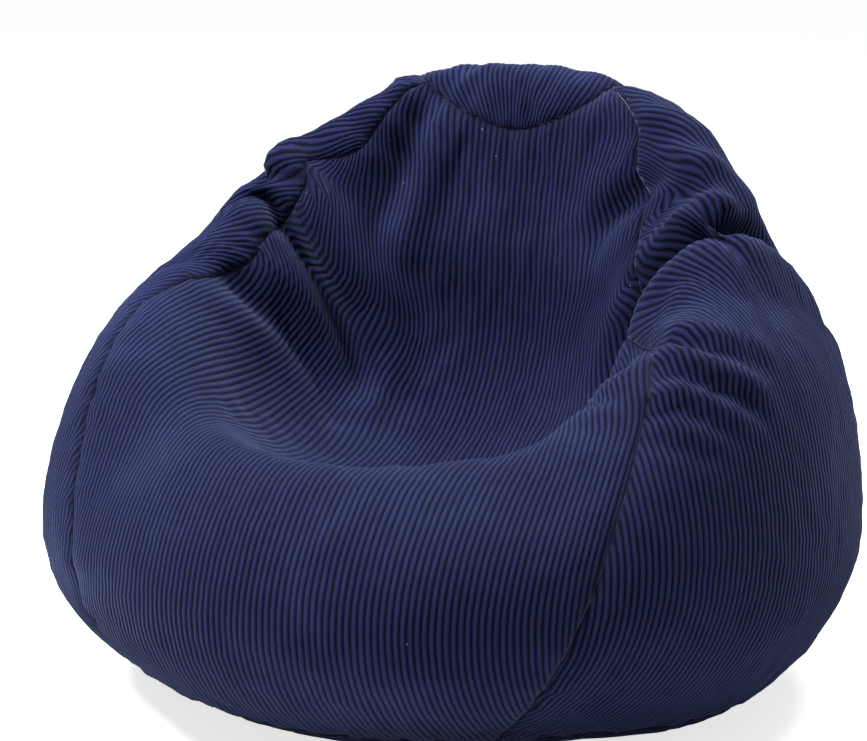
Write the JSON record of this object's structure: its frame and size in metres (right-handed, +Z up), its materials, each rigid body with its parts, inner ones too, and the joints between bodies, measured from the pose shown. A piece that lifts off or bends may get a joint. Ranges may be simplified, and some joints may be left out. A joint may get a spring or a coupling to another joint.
{
  "type": "bean bag chair",
  "caption": "Low soft armchair: sewn wide-wale corduroy gores over a zipped liner of beads, slumped into a seat hollow, arms and a raised backrest.",
  "frame": {"origin": "centre of the bounding box in plan, on the plane the chair rests on", "axes": "+Z up; -Y is the front, where the sitter's legs go; +X is the sitter's left"},
  "size_m": [0.839, 0.841, 0.6212],
  "materials": {
    "corduroy": "wide-wale cotton corduroy, navy",
    "zip_tape": "woven tape, navy",
    "zip_teeth": "moulded teeth, navy",
    "zip_metal": "dark lacquered die casting",
    "label_tape": "blank satin tape",
    "liner_cloth": "plain off-white polyester",
    "liner_zip_tape": "woven tape, off-white",
    "liner_zip_teeth": "moulded teeth, off-white",
    "foam_beads": "loose expanded polystyrene beads"
  },
  "bodies": {
    "chair": {"front_panel": "corduroy", "left_side_panel": "corduroy", "back_panel": "corduroy", "right_side_panel": "corduroy", "top_cap": "corduroy", "base_front_half": "corduroy", "base_rear_half": "corduroy", "cover_zip_tape_front": "zip_tape", "cover_zip_tape_rear": "zip_tape", "cover_zip_teeth_front": "zip_teeth", "cover_zip_teeth_rear": "zip_teeth", "cover_zip_stop_closed": "zip_metal", "cover_zip_stop_open": "zip_metal", "care_label": "label_tape", "liner_front": "liner_cloth", "liner_left_side": "liner_cloth", "liner_back": "liner_cloth", "liner_right_side": "liner_cloth", "liner_cap": "liner_cloth", "liner_base_front_half": "liner_cloth", "liner_base_rear_half": "liner_cloth", "liner_zip_tape_front": "liner_zip_tape", "liner_zip_tape_rear": "liner_zip_tape", "liner_zip_teeth_front": "liner_zip_teeth", "liner_zip_teeth_rear": "liner_zip_teeth", "liner_zip_stop_closed": "zip_metal", "liner_zip_stop_open": "zip_metal", "bead_fill": "foam_beads"},
    "cover_slider": {"cover_zip_slider": "zip_metal"},
    "cover_pull": {"cover_zip_pull": "zip_metal"},
    "liner_slider": {"liner_zip_slider": "zip_metal"}
  },
  "joints": [
    {"name": "cover_zip_run", "type": "slide", "parent": "chair", "child": "cover_slider", "axis": [-1, 0, 0], "range_m": [0, 0.3184]},
    {"name": "cover_pull_hinge", "type": "hinge", "parent": "cover_slider", "child": "cover_pull", "pos_m": [0.1592, 0.045, 0.0016], "axis": [0, -1, 0], "range_deg": [0, 100]},
    {"name": "liner_zip_run", "type": "slide", "parent": "chair", "child": "liner_slider", "axis": [-1, 0, 0], "range_m": [0, 0.2584]}
  ]
}
